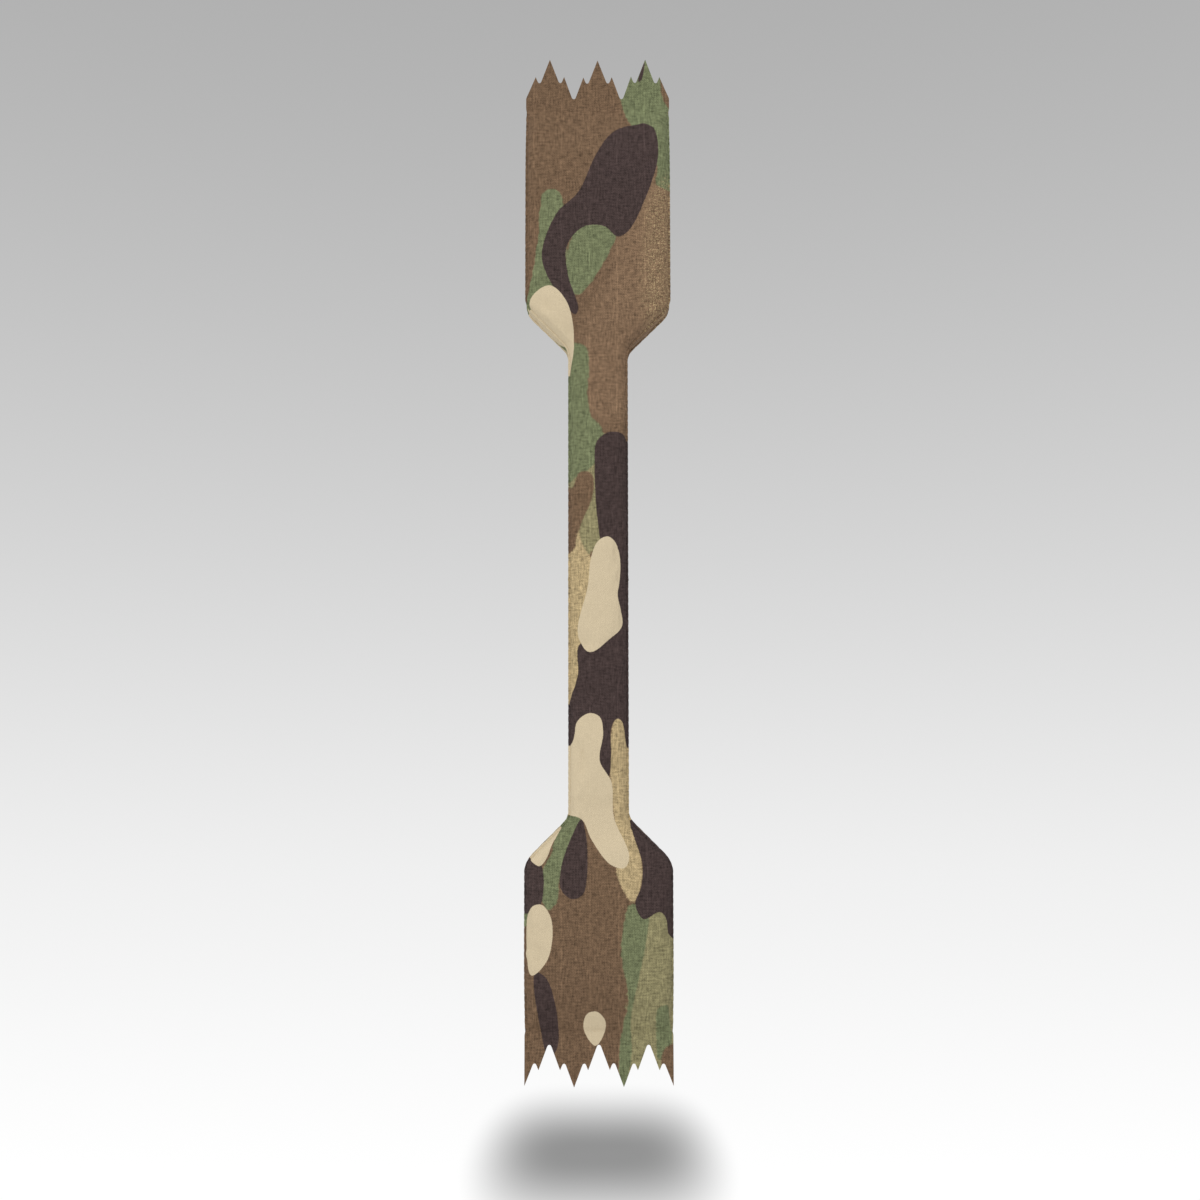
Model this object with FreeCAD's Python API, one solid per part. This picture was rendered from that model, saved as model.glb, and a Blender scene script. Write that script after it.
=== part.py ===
import FreeCAD, Part
import math
import os

# Dumbbell-shaped soft training bumper.
# +Z runs along the bumper, X across its width and Y through its thickness.
# The front face looks towards -Y and the origin is at the middle of the grip.
# All sizes are in millimetres.

# Outline
PADDLE_WIDTH = 63.4
NECK_WIDTH = 26.0
SHOULDER_MIDDLE = 111.0  # distance from the origin to the middle of each shoulder
SHOULDER_RADIUS = 9.0  # rounding where a shoulder meets the neck and the paddle
SHOULDER_ANGLE = 45.0

# Thickness
PADDLE_THICKNESS = 24.0
NECK_THICKNESS = 20.0
END_THICKNESS = 2.4  # the two layers of cloth at an end seam
TAPER_LENGTH = 34.0  # how far from an end seam the padding starts to thin
EDGE_RADIUS = 4.5  # rounding from a face panel into its gusset

# Zigzag cut, the same line at both ends
TEETH = 3
CUT_HEIGHT = 215.0  # distance from the origin to the lowest points of each cut line
PEAK_RISE = 17.9  # main peaks above those lowest points
SIDE_PEAK_OFFSET = 6.3
SIDE_PEAK_RISE = 10.2
NOTCH_OFFSET = 4.6
NOTCH_RISE = 7.1
OUTER_RISE = 0.6  # of the cut where it meets each long edge
NOTCH_RADIUS = 0.8
VALLEY_RADIUS = 0.9
HEM = 5.0  # from an end seam to the nearest point of the cut

# Cloth and clearances
CLOTH = 1.0
PLY_GAP = 0.15  # half of the space between the two plies of a fringe
SEAM_GAP = 0.1
BODY_CLEARANCE = 0.3
WELT_HEIGHT = 0.7
WELT_WIDTH = 1.1
FRINGE_CLEARANCE = 0.6  # from an end seam to where its fringe starts to swing

# Inside
HINGE_HEIGHT = 94.0  # where the neck bends, beside each paddle
HINGE_GAP = 4.0  # from a bend to the foam on each side of it
SPINE_RADIUS = 4.0
DISC_RADIUS = 10.0
DISC_THICKNESS = 3.0
DISC_SETBACK = 56.0  # from an end seam to the anchor disc
WEIGHT_RADIUS = 5.0
WEIGHT_LENGTH = 40.0
WEIGHT_SETBACK = 42.0
FOAM_SETBACK = 12.0  # from an end seam to the end of the foam
WADDING_SETBACK = 2.0

# Stitches across each end
STITCH_INSET = 1.2  # from an end seam, out of the way of its fringe
STITCH_LENGTH = 2.6
STITCH_PITCH = 3.6
STITCH_WIDTH = 0.5
STITCH_HEIGHT = 0.3

# Worked out from the above
PADDLE_HALF = PADDLE_WIDTH / 2 - WELT_HEIGHT
NECK_HALF = NECK_WIDTH / 2 - WELT_HEIGHT
TOOTH_PITCH = PADDLE_WIDTH / TEETH
ARC = math.radians(SHOULDER_ANGLE)
ARC_SIDE = SHOULDER_RADIUS * (1 - math.cos(ARC))
ARC_ALONG = SHOULDER_RADIUS * math.sin(ARC)
SLOPE_SIDE = PADDLE_HALF - NECK_HALF - 2 * ARC_SIDE
SHOULDER_LENGTH = SLOPE_SIDE / math.tan(ARC) + 2 * ARC_ALONG
NECK_END = SHOULDER_MIDDLE - SHOULDER_LENGTH / 2
PADDLE_START = SHOULDER_MIDDLE + SHOULDER_LENGTH / 2
UPPER_SEAM = CUT_HEIGHT - HEM
LOWER_SEAM = CUT_HEIGHT - PEAK_RISE - HEM

ARC_STEPS = 4
TAPER_STEPS = 6
WIDE = 60.0


def half_width(height):
    """Half of the body's width at a height, with round corners on each shoulder."""
    along = abs(height)
    if along <= NECK_END:
        return NECK_HALF
    if along >= PADDLE_START:
        return PADDLE_HALF
    from_neck = along - NECK_END
    from_paddle = PADDLE_START - along
    if from_neck < ARC_ALONG:
        return NECK_HALF + SHOULDER_RADIUS - math.sqrt(SHOULDER_RADIUS**2 - from_neck**2)
    if from_paddle < ARC_ALONG:
        return PADDLE_HALF - SHOULDER_RADIUS + math.sqrt(SHOULDER_RADIUS**2 - from_paddle**2)
    return NECK_HALF + ARC_SIDE + (from_neck - ARC_ALONG) * math.tan(ARC)


def seam_distance(height):
    """Distance from the origin to the end seam on the same side as a height."""
    return UPPER_SEAM if height > 0 else LOWER_SEAM


def half_thickness(height):
    """Half of the body's thickness: a thinner neck, level paddles and tapering ends."""
    along = abs(height)
    neck = NECK_THICKNESS / 2
    paddle = PADDLE_THICKNESS / 2
    if along <= NECK_END:
        return neck
    if along <= PADDLE_START:
        share = (along - NECK_END) / SHOULDER_LENGTH
        return neck + (paddle - neck) * share * share * (3 - 2 * share)
    taper_start = seam_distance(height) - TAPER_LENGTH
    if along <= taper_start:
        return paddle
    share = min(1.0, (along - taper_start) / TAPER_LENGTH)
    return paddle - (paddle - END_THICKNESS / 2) * share * share


def edge_radius(height):
    return min(EDGE_RADIUS, half_thickness(height) - 0.2)


def gusset_half(height):
    """Half of the gusset's width, which shrinks to almost nothing at the end seams."""
    return half_thickness(height) - edge_radius(height)


def levels(low, high):
    """Heights of the cross-sections between two ends: more of them where the shape curves."""
    found = {low, high}
    for side in (-1, 1):
        for step in range(ARC_STEPS + 1):
            reach = SHOULDER_RADIUS * math.sin(ARC * step / ARC_STEPS)
            found.add(side * (NECK_END + reach))
            found.add(side * (PADDLE_START - reach))
        seam = seam_distance(side)
        for step in range(TAPER_STEPS + 1):
            found.add(side * (seam - TAPER_LENGTH * (1 - step / TAPER_STEPS)))
    return sorted(level for level in found if low <= level <= high)


def rounded_section(height, half_x, half_y, radius):
    """Closed wire of a rectangle with round corners, level at a height."""
    flat_x = half_x - radius
    flat_y = half_y - radius
    mid = radius * math.sqrt(0.5)
    corners = [(1, 1), (-1, 1), (-1, -1), (1, -1)]
    edges = []
    for index, (sx, sy) in enumerate(corners):
        start = FreeCAD.Vector(sx * half_x, sy * flat_y, height)
        middle = FreeCAD.Vector(sx * (flat_x + mid), sy * (flat_y + mid), height)
        end = FreeCAD.Vector(sx * flat_x, sy * half_y, height)
        if sx * sy < 0:
            start, end = end, start
        edges.append(Part.Arc(start, middle, end).toShape())
        next_sx, next_sy = corners[(index + 1) % len(corners)]
        if next_sx == sx:
            following = FreeCAD.Vector(sx * half_x, next_sy * flat_y, height)
        else:
            following = FreeCAD.Vector(next_sx * flat_x, sy * half_y, height)
        edges.append(Part.LineSegment(end, following).toShape())
    return Part.Wire(edges)


def rectangle_section(height, low_x, high_x, low_y, high_y):
    corners = [(low_x, low_y), (high_x, low_y), (high_x, high_y), (low_x, high_y), (low_x, low_y)]
    return Part.makePolygon([FreeCAD.Vector(x, y, height) for x, y in corners])


def body_solid(inset, low, high):
    """The stuffed body, shrunk by an inset, between two heights."""
    wires = []
    for height in levels(low, high):
        half_y = half_thickness(height) - inset
        radius = max(edge_radius(height) - inset, half_y / 2 if half_y < 1 else 0.5)
        wires.append(rounded_section(height, half_width(height) - inset, half_y, radius))
    return Part.makeLoft(wires, True, True)


def gusset_slab(grow):
    """The slab between the front and back seams, wider than the body."""
    wires = []
    for height in levels(-LOWER_SEAM, UPPER_SEAM):
        half_y = gusset_half(height) + grow
        wires.append(rectangle_section(height, -WIDE, WIDE, -half_y, half_y))
    return Part.makeLoft(wires, True, True)


def block(low_x, high_x, low_y, high_y, low_z, high_z):
    corner = FreeCAD.Vector(low_x, low_y, low_z)
    return Part.makeBox(high_x - low_x, high_y - low_y, high_z - low_z, corner)


def cover_pieces():
    """Front and back face panels and the two side gussets, cut from one hollow skin."""
    skin = body_solid(0.0, -LOWER_SEAM, UPPER_SEAM).cut(body_solid(CLOTH, -LOWER_SEAM, UPPER_SEAM))
    faces = skin.cut(gusset_slab(SEAM_GAP))
    sides = skin.common(gusset_slab(-SEAM_GAP))
    long = 2 * CUT_HEIGHT
    return {
        "front_cover_panel": faces.common(block(-WIDE, WIDE, -WIDE, 0, -long, long)),
        "back_cover_panel": faces.common(block(-WIDE, WIDE, 0, WIDE, -long, long)),
        "left_gusset": sides.common(block(-WIDE, 0, -WIDE, WIDE, -long, long)),
        "right_gusset": sides.common(block(0, WIDE, -WIDE, WIDE, -long, long)),
    }


def seam_welt(side_y):
    """The raised seams along both long edges of one face panel."""
    runs = []
    for side_x in (-1, 1):
        wires = []
        for height in levels(-LOWER_SEAM, UPPER_SEAM):
            inner = half_width(height) + SEAM_GAP / 2
            outer = half_width(height) + WELT_HEIGHT
            middle = side_y * max(gusset_half(height), WELT_WIDTH / 2 + SEAM_GAP)
            low_x, high_x = sorted((side_x * inner, side_x * outer))
            low_y, high_y = middle - WELT_WIDTH / 2, middle + WELT_WIDTH / 2
            wires.append(rectangle_section(height, low_x, high_x, low_y, high_y))
        runs.append(Part.makeLoft(wires, True, True))
    return Part.makeCompound(runs)


def spine_cord():
    """The flexible cord that ties both paddles together through the grip."""
    low = -(LOWER_SEAM - DISC_SETBACK - DISC_THICKNESS / 2)
    high = UPPER_SEAM - DISC_SETBACK - DISC_THICKNESS / 2
    return Part.makeCylinder(SPINE_RADIUS, high - low, FreeCAD.Vector(0, 0, low))


def grip_foam_sleeve():
    """Closed-cell foam around the spine, between the two bends."""
    reach = HINGE_HEIGHT - HINGE_GAP
    inset = CLOTH + BODY_CLEARANCE
    bore = Part.makeCylinder(SPINE_RADIUS + BODY_CLEARANCE, 2 * reach, FreeCAD.Vector(0, 0, -reach))
    return body_solid(inset, -reach, reach).cut(bore)


def anchor_disc(side):
    """Stiff disc that the spine is tied to, inside one paddle."""
    middle = side * (seam_distance(side) - DISC_SETBACK)
    foot = FreeCAD.Vector(0, 0, middle - DISC_THICKNESS / 2)
    return Part.makeCylinder(DISC_RADIUS, DISC_THICKNESS, foot)


def throw_weight(side):
    """Short steel bar across one paddle, with rounded ends."""
    height = side * (seam_distance(side) - WEIGHT_SETBACK)
    foot = FreeCAD.Vector(-WEIGHT_LENGTH / 2, 0, height)
    bar = Part.makeCylinder(WEIGHT_RADIUS, WEIGHT_LENGTH, foot, FreeCAD.Vector(1, 0, 0))
    ends = [edge for edge in bar.Edges if isinstance(edge.Curve, Part.Circle)]
    return bar.makeFillet(WEIGHT_RADIUS / 4, ends)


def grown_pocket(side):
    """Room in the foam for the spine, the anchor disc and the throw weight."""
    seam = seam_distance(side)
    room = BODY_CLEARANCE
    disc_middle = side * (seam - DISC_SETBACK)
    disc_foot = FreeCAD.Vector(0, 0, disc_middle - DISC_THICKNESS / 2 - room)
    disc = Part.makeCylinder(DISC_RADIUS + room, DISC_THICKNESS + 2 * room, disc_foot)
    weight_foot = FreeCAD.Vector(-WEIGHT_LENGTH / 2 - room, 0, side * (seam - WEIGHT_SETBACK))
    weight_length = WEIGHT_LENGTH + 2 * room
    weight = Part.makeCylinder(WEIGHT_RADIUS + room, weight_length, weight_foot, FreeCAD.Vector(1, 0, 0))
    spine_length = seam - DISC_SETBACK
    low = min(0.0, side * spine_length)
    spine = Part.makeCylinder(SPINE_RADIUS + room, spine_length, FreeCAD.Vector(0, 0, low))
    return disc.fuse([weight, spine])


def paddle_floats(side):
    """Front and back halves of the foam block in one paddle, with pockets between them."""
    near = side * (HINGE_HEIGHT + HINGE_GAP)
    far = side * (seam_distance(side) - FOAM_SETBACK)
    foam = body_solid(CLOTH + BODY_CLEARANCE, min(near, far), max(near, far)).cut(grown_pocket(side))
    long = 2 * CUT_HEIGHT
    front = foam.common(block(-WIDE, WIDE, -WIDE, -SEAM_GAP, -long, long))
    back = foam.common(block(-WIDE, WIDE, SEAM_GAP, WIDE, -long, long))
    return front, back


def end_wadding(side):
    """Soft fill between the end of the foam and the end seam."""
    seam = seam_distance(side)
    near = side * (seam - FOAM_SETBACK + BODY_CLEARANCE)
    far = side * (seam - WADDING_SETBACK)
    return body_solid(CLOTH + BODY_CLEARANCE, min(near, far), max(near, far))


def end_stitching(side):
    """Lock-stitches that close one end, lying on both faces beside the end seam."""
    height = side * (seam_distance(side) - STITCH_INSET)
    count = int((PADDLE_WIDTH - STITCH_PITCH) // STITCH_PITCH)
    surface = half_thickness(height - side * STITCH_WIDTH / 2) + SEAM_GAP
    stitches = []
    for index in range(count):
        middle = (index - (count - 1) / 2) * STITCH_PITCH
        low_x, high_x = middle - STITCH_LENGTH / 2, middle + STITCH_LENGTH / 2
        low_z, high_z = height - STITCH_WIDTH / 2, height + STITCH_WIDTH / 2
        for low_y in (surface, -surface - STITCH_HEIGHT):
            stitches.append(block(low_x, high_x, low_y, low_y + STITCH_HEIGHT, low_z, high_z))
    return Part.makeCompound(stitches)


def pointed(corners, index):
    """Moves a rounded corner out, so that its arc rather than its point reaches the corner's rise."""
    x, rise, radius = corners[index]
    if not radius:
        return corners[index]
    before_x, before_rise, _ = corners[index - 1]
    after_x, after_rise, _ = corners[index + 1]
    half_angle = math.atan((x - before_x) / abs(rise - before_rise)) / 2
    half_angle += math.atan((after_x - x) / abs(rise - after_rise)) / 2
    overshoot = radius / math.sin(half_angle) - radius
    return x, rise + math.copysign(overshoot, rise - before_rise), radius


def cut_line(upper):
    """Corners of the zigzag from left to right, as (x, rise, corner radius).

    Cloth lies below the upper line, so the upper line's low corners are rounded.
    Cloth lies above the lower line, so the lower line's high corners are rounded.
    """
    low_round, high_round = (1, 0) if upper else (0, 1)
    corners = [(-PADDLE_WIDTH / 2, OUTER_RISE, 0.0)]
    for tooth in range(TEETH):
        middle = (tooth - (TEETH - 1) / 2) * TOOTH_PITCH
        corners += [
            (middle - SIDE_PEAK_OFFSET, SIDE_PEAK_RISE, NOTCH_RADIUS * high_round),
            (middle - NOTCH_OFFSET, NOTCH_RISE, NOTCH_RADIUS * low_round),
            (middle, PEAK_RISE, VALLEY_RADIUS * high_round),
            (middle + NOTCH_OFFSET, NOTCH_RISE, NOTCH_RADIUS * low_round),
            (middle + SIDE_PEAK_OFFSET, SIDE_PEAK_RISE, NOTCH_RADIUS * high_round),
            (middle + TOOTH_PITCH / 2, 0.0, VALLEY_RADIUS * low_round),
        ]
    corners[-1] = (PADDLE_WIDTH / 2, OUTER_RISE, 0.0)
    return [pointed(corners, index) for index in range(len(corners))]


def outline_wire(corners, y):
    """Closed wire through (x, z, radius) corners, with an arc at each corner that has a radius."""
    points = [FreeCAD.Vector(x, y, z) for x, z, _ in corners]
    edges = []
    first = None
    previous = None
    for index, (_, _, radius) in enumerate(corners):
        point = points[index]
        start = end = point
        if radius:
            back = (points[index - 1] - point).normalize()
            ahead = (points[(index + 1) % len(points)] - point).normalize()
            half_angle = back.getAngle(ahead) / 2
            reach = radius / math.tan(half_angle)
            start = point + back * reach
            end = point + ahead * reach
            inward = (back + ahead).normalize()
            middle = point + inward * (radius / math.sin(half_angle) - radius)
        if previous is not None:
            edges.append(Part.LineSegment(previous, start).toShape())
        else:
            first = start
        if radius:
            edges.append(Part.Arc(start, middle, end).toShape())
        previous = end
    edges.append(Part.LineSegment(previous, first).toShape())
    return Part.Wire(edges)


def fringe_ply(side, side_y):
    """One flat ply of cloth beyond an end seam, with its zigzag edge."""
    root = side * (seam_distance(side) + FRINGE_CLEARANCE)
    base = side * CUT_HEIGHT
    corners = [(x, base + rise, radius) for x, rise, radius in cut_line(side > 0)]
    corners += [(PADDLE_WIDTH / 2, root, 0.0), (-PADDLE_WIDTH / 2, root, 0.0)]
    low_y = min(side_y * PLY_GAP, side_y * (PLY_GAP + CLOTH))
    face = Part.Face(outline_wire(corners, low_y))
    return face.extrude(FreeCAD.Vector(0, CLOTH, 0))


def all_pieces():
    pieces = cover_pieces()
    pieces["front_seam_welt"] = seam_welt(-1)
    pieces["back_seam_welt"] = seam_welt(1)
    pieces["spine_cord"] = spine_cord()
    pieces["grip_foam_sleeve"] = grip_foam_sleeve()
    for name, side in (("upper", 1), ("lower", -1)):
        front, back = paddle_floats(side)
        pieces[name + "_front_float"] = front
        pieces[name + "_back_float"] = back
        pieces[name + "_anchor_disc"] = anchor_disc(side)
        pieces[name + "_throw_weight"] = throw_weight(side)
        pieces[name + "_end_wadding"] = end_wadding(side)
        pieces[name + "_end_stitching"] = end_stitching(side)
        pieces[name + "_fringe_front_ply"] = fringe_ply(side, -1)
        pieces[name + "_fringe_back_ply"] = fringe_ply(side, 1)
    return pieces


os.makedirs("parts", exist_ok=True)
for node, shape in all_pieces().items():
    box = shape.BoundBox
    print(node, len(shape.Solids), shape.isValid(), round(shape.Volume / 1000, 2), "cm3",
          [round(v, 2) for v in (box.XMin, box.XMax, box.YMin, box.YMax, box.ZMin, box.ZMax)])
    shape.exportStep("parts/" + node + ".step")
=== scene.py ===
import math

import bmesh
import bpy
import numpy as np
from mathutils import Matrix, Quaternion, Vector


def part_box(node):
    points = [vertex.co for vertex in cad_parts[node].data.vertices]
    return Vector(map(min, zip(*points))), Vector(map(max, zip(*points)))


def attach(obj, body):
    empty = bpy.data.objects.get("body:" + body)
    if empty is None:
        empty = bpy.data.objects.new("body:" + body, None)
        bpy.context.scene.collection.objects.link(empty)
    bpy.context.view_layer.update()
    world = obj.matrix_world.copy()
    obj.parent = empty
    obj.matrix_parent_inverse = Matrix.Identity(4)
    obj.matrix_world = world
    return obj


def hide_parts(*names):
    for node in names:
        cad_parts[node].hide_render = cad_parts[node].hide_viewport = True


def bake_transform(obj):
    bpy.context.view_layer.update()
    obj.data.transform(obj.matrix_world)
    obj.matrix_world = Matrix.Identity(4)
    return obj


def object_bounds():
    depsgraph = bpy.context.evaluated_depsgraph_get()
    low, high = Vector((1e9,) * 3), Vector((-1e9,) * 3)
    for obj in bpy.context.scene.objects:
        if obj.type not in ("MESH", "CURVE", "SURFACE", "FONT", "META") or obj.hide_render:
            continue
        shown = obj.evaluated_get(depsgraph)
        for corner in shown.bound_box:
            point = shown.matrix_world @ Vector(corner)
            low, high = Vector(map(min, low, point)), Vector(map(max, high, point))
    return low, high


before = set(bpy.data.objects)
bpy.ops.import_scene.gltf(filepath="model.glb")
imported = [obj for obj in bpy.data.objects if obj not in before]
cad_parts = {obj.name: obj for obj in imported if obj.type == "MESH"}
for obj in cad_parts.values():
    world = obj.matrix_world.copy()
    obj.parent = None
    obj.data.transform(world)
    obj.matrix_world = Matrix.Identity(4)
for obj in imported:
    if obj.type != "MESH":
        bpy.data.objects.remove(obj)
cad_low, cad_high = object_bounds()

# Shapes are worked out in millimetres in the part's frame and become metres when a mesh is made.
MM = 0.001


# ---- sizes from the frame

def frame_box(node):
    """Lowest and highest corner of a CAD node, in millimetres."""
    low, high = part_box(node)
    return np.array(low) / MM, np.array(high) / MM


panel_low, panel_high = frame_box("front_cover_panel")
_, back_high = frame_box("back_cover_panel")
_, fringe_high = frame_box("upper_fringe_front_ply")
lower_fringe_low, _ = frame_box("lower_fringe_front_ply")
spine_low, spine_high = frame_box("spine_cord")

PADDLE_HALF = panel_high[0]  # of the padded body, without the raised seams
PLY_HALF = fringe_high[0]  # of the flat fringe, and of the body with its raised seams
WELT_HEIGHT = PLY_HALF - PADDLE_HALF
UPPER_SEAM = panel_high[2]
LOWER_SEAM = -panel_low[2]
PADDLE_DEEP = back_high[1]
PEAK_HEIGHT = fringe_high[2]
CUT_HEIGHT = -lower_fringe_low[2]
PEAK_RISE = PEAK_HEIGHT - CUT_HEIGHT

# ---- sizes of the sewn shape

NECK_HALF = 12.3
NECK_DEEP = 10.0
SHOULDER_MIDDLE = 111.0
SHOULDER_RADIUS = 9.0
SHOULDER_ANGLE = math.radians(45)
END_DEEP = 1.2
TAPER_LENGTH = 34.0
EDGE_RADIUS = 4.5
EDGE_GIRTH = 2.0  # about what that rounding adds to the cloth from the middle to a seam

CLOTH = 0.8  # thickness of the cover
PLY_GAP = 0.15  # half of the space between the plies of a fringe
FRINGE_ROOT = 3.0  # a fringe piece starts this far inside its end seam

TEETH = 3
TOOTH_PITCH = 2 * PLY_HALF / TEETH
SIDE_PEAK = (6.3, 10.2)  # offset from a main peak, and rise above the cut's lowest points
NOTCH = (4.6, 7.1)
OUTER_RISE = 0.6
NOTCH_RADIUS = 0.8
VALLEY_RADIUS = 0.9

GRID = 1.0  # spacing of the finished meshes
WEAVE_PITCH = 1.1
RIB_PITCH = 12.2
RIB_OFFSET = 3.7

ARC_SIDE = SHOULDER_RADIUS * (1 - math.cos(SHOULDER_ANGLE))
ARC_ALONG = SHOULDER_RADIUS * math.sin(SHOULDER_ANGLE)
SLOPE_SIDE = PADDLE_HALF - NECK_HALF - 2 * ARC_SIDE
SHOULDER_LENGTH = SLOPE_SIDE / math.tan(SHOULDER_ANGLE) + 2 * ARC_ALONG
NECK_END = SHOULDER_MIDDLE - SHOULDER_LENGTH / 2
PADDLE_START = SHOULDER_MIDDLE + SHOULDER_LENGTH / 2


def smooth(low, high, value):
    share = np.clip((value - low) / (high - low), 0, 1)
    return share * share * (3 - 2 * share)


def half_width(height):
    along = np.abs(height)
    from_neck = np.clip(along - NECK_END, 0, ARC_ALONG)
    from_paddle = np.clip(PADDLE_START - along, 0, ARC_ALONG)
    neck_arc = NECK_HALF + SHOULDER_RADIUS - np.sqrt(SHOULDER_RADIUS**2 - from_neck**2)
    paddle_arc = PADDLE_HALF - SHOULDER_RADIUS + np.sqrt(SHOULDER_RADIUS**2 - from_paddle**2)
    slope = NECK_HALF + ARC_SIDE + (along - NECK_END - ARC_ALONG) * math.tan(SHOULDER_ANGLE)
    low = np.where(along < NECK_END + ARC_ALONG, neck_arc, slope)
    return np.where(along > PADDLE_START - ARC_ALONG, paddle_arc, low)


def seam_distance(height):
    return np.where(height > 0, UPPER_SEAM, LOWER_SEAM)


def half_thickness(height):
    along = np.abs(height)
    body = NECK_DEEP + (PADDLE_DEEP - NECK_DEEP) * smooth(NECK_END, PADDLE_START, along)
    taper = np.clip((along - seam_distance(height) + TAPER_LENGTH) / TAPER_LENGTH, 0, 1)
    return body - (PADDLE_DEEP - END_DEEP) * taper**2


def edge_radius(height):
    return np.minimum(EDGE_RADIUS, half_thickness(height) - 0.2)


def gusset_half(height):
    return half_thickness(height) - edge_radius(height)


def outline_normal(height):
    """Outward direction of the right-hand edge, as (x, z)."""
    slope = (half_width(height + 0.05) - half_width(height - 0.05)) / 0.1
    length = np.sqrt(1 + slope**2)
    return 1 / length, -slope / length


def waves(count, shortest, longest, seed):
    """A sum of plane waves with seeded directions: gentle, even roughness for cloth."""
    draw = np.random.default_rng(seed)
    lengths = draw.uniform(shortest, longest, count)
    turns = draw.uniform(0, math.pi, count)
    phases = draw.uniform(0, 2 * math.pi, count)

    def height(u, v):
        total = np.zeros(np.broadcast(u, v).shape)
        for length, turn, phase in zip(lengths, turns, phases):
            along = u * math.cos(turn) + v * math.sin(turn)
            total += np.sin(2 * math.pi * along / length + phase)
        return total / math.sqrt(count)

    return height


# ---- the stuffed body as a surface

def panel_place(side_y, share, height):
    """Point, outward direction and distance from the middle line on a face panel.

    share runs from -1 at the left seam to 1 at the right seam.
    """
    radius = edge_radius(height)
    flat = half_width(height) - radius
    girth = flat + radius * math.pi / 2
    along = np.abs(share) * girth
    turn = np.clip((along - flat) / radius, 0, math.pi / 2)
    side_x = np.sign(share)
    x = side_x * np.where(along <= flat, along, flat + radius * np.sin(turn))
    y = side_y * (half_thickness(height) - radius * (1 - np.cos(turn)))
    place = np.stack([x, y, height + 0 * x], -1)
    out_x, out_z = outline_normal(height)
    normal = np.stack([side_x * np.sin(turn) * out_x, side_y * np.cos(turn), np.sin(turn) * out_z], -1)
    normal /= np.linalg.norm(normal, axis=-1, keepdims=True)
    return place, normal, side_x * along


def gusset_place(side_x, share, height):
    """The same on a gusset: share runs from -1 at the front seam to 1 at the back seam."""
    y = share * gusset_half(height)
    x = side_x * half_width(height) + 0 * y
    place = np.stack([x, y, height + 0 * x], -1)
    out_x, out_z = outline_normal(height)
    normal = np.stack([side_x * out_x + 0 * y, 0 * y, out_z + 0 * y], -1)
    return place, normal, y


# ---- stuffing by cloth simulation

SIM_PANEL = 21  # columns across a face panel
SIM_GUSSET = 7
SIM_STEP = 3.6
SIM_FRAMES = 20
SIM_CAP = 1.8
SIM_PRESSURE = 4.0
SIM_EASE = -0.012  # the cloth is cut this much larger than the block it covers


def sim_levels():
    count = int(round((UPPER_SEAM + LOWER_SEAM) / SIM_STEP)) + 1
    return np.linspace(-LOWER_SEAM, UPPER_SEAM, count)


def sim_rings():
    """Rings of points round the body, with a mark on those that lie on a seam."""
    levels = sim_levels()[:, None]
    face = np.linspace(-1, 1, SIM_PANEL)[None]
    side = np.linspace(-1, 1, SIM_GUSSET)[None, 1:-1]
    front = panel_place(-1, face, levels)[0]
    right = gusset_place(1, side, levels)[0]
    back = panel_place(1, face, levels)[0][:, ::-1]
    left = gusset_place(-1, side, levels)[0][:, ::-1]
    rings = np.concatenate([front, right, back, left], 1)
    seam = np.zeros(rings.shape[1])
    inner = SIM_GUSSET - 2
    seam[[0, SIM_PANEL - 1, SIM_PANEL + inner, 2 * SIM_PANEL + inner - 1]] = 1
    return rings, seam


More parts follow.
